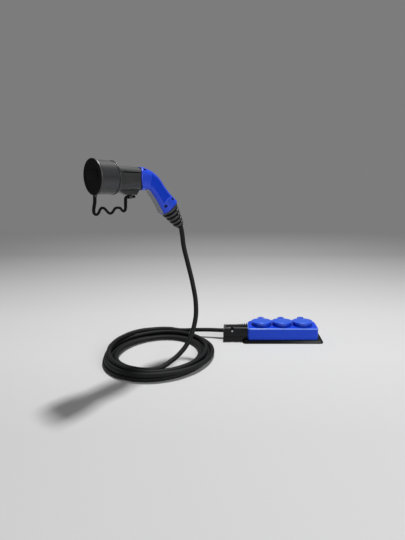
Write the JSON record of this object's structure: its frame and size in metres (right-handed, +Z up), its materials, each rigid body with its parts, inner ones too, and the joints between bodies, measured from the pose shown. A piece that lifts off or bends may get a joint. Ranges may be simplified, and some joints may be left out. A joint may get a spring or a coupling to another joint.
{
  "type": "vehicle-to-load adapter lead",
  "caption": "Car charging connector with a pull-off dust cap on a strap, a coiled cable and an outlet block with hinged lids, for taking household power from an electric car.",
  "frame": {"origin": "middle of the connector's nose face", "axes": "-X out of the connector's nose, +Z up from the floor that the coil and outlet block lie on"},
  "size_m": [0.5403, 0.4057, 0.454],
  "materials": {
    "black_plastic": "fine moulded texture",
    "black_rubber": "moulded rubber, dull",
    "cable_jacket": "extruded rubber, slight sheen",
    "blue_plastic": "moulded, satin",
    "grip_rubber": "soft moulded grip",
    "contact_brass": "plain",
    "screw_steel": "zinc plated",
    "circuit_board": "solder mask",
    "wire_insulation": "plain",
    "terminal_plastic": "plain"
  },
  "bodies": {
    "lead": {"nose_housing": "black_plastic", "contact_insert": "black_plastic", "gun_cable_clamp": "black_plastic", "base_plate": "black_plastic", "entry_lower": "black_plastic", "entry_upper": "black_plastic", "entry_cable_clamp": "black_plastic", "nose_seal": "black_rubber", "cap_strap": "black_rubber", "cable_boot": "black_rubber", "cord_hang": "cable_jacket", "cord_coil": "cable_jacket", "cord_lead": "cable_jacket", "collar_ring": "blue_plastic", "handle_left": "blue_plastic", "handle_right": "blue_plastic", "outlet_housing": "blue_plastic", "socket_insert_1": "blue_plastic", "socket_insert_2": "blue_plastic", "socket_insert_3": "blue_plastic", "grip_inlay": "grip_rubber", "power_contacts": "contact_brass", "signal_contacts": "contact_brass", "contact_tubes": "contact_brass", "earth_clips": "contact_brass", "live_bar": "contact_brass", "neutral_bar": "contact_brass", "earth_bar": "contact_brass", "collar_screw": "screw_steel", "handle_screws": "screw_steel", "base_screws": "screw_steel", "entry_screws": "screw_steel", "side_screw": "screw_steel", "terminal_screws": "screw_steel", "hinge_pins": "screw_steel", "lid_springs": "screw_steel", "coding_board": "circuit_board", "core_wires": "wire_insulation", "terminal_block": "terminal_plastic"},
    "cap": {"dust_cap": "black_rubber"},
    "lid_1": {"lid_1": "blue_plastic", "lid_seal_1": "black_rubber"},
    "lid_2": {"lid_2": "blue_plastic", "lid_seal_2": "black_rubber"},
    "lid_3": {"lid_3": "blue_plastic", "lid_seal_3": "black_rubber"}
  },
  "joints": [
    {"name": "cap_pull", "type": "slide", "parent": "lead", "child": "cap", "axis": [-1, 0, 0], "range_m": [0, 0.06], "deforming": ["cap_strap"]},
    {"name": "lid_1_hinge", "type": "hinge", "parent": "lead", "child": "lid_1", "pos_m": [0.41737, -0.0825, -0.3742], "axis": [-0.6428, 0.766, 0], "range_deg": [0, 100], "stiffness_Nm_per_rad": 0.01, "springref_deg": -11.46},
    {"name": "lid_2_hinge", "type": "hinge", "parent": "lead", "child": "lid_2", "pos_m": [0.45336, -0.1254, -0.3742], "axis": [-0.6428, 0.766, 0], "range_deg": [0, 100], "stiffness_Nm_per_rad": 0.01, "springref_deg": -11.46},
    {"name": "lid_3_hinge", "type": "hinge", "parent": "lead", "child": "lid_3", "pos_m": [0.48936, -0.16829, -0.3742], "axis": [-0.6428, 0.766, 0], "range_deg": [0, 100], "stiffness_Nm_per_rad": 0.01, "springref_deg": -11.46}
  ]
}
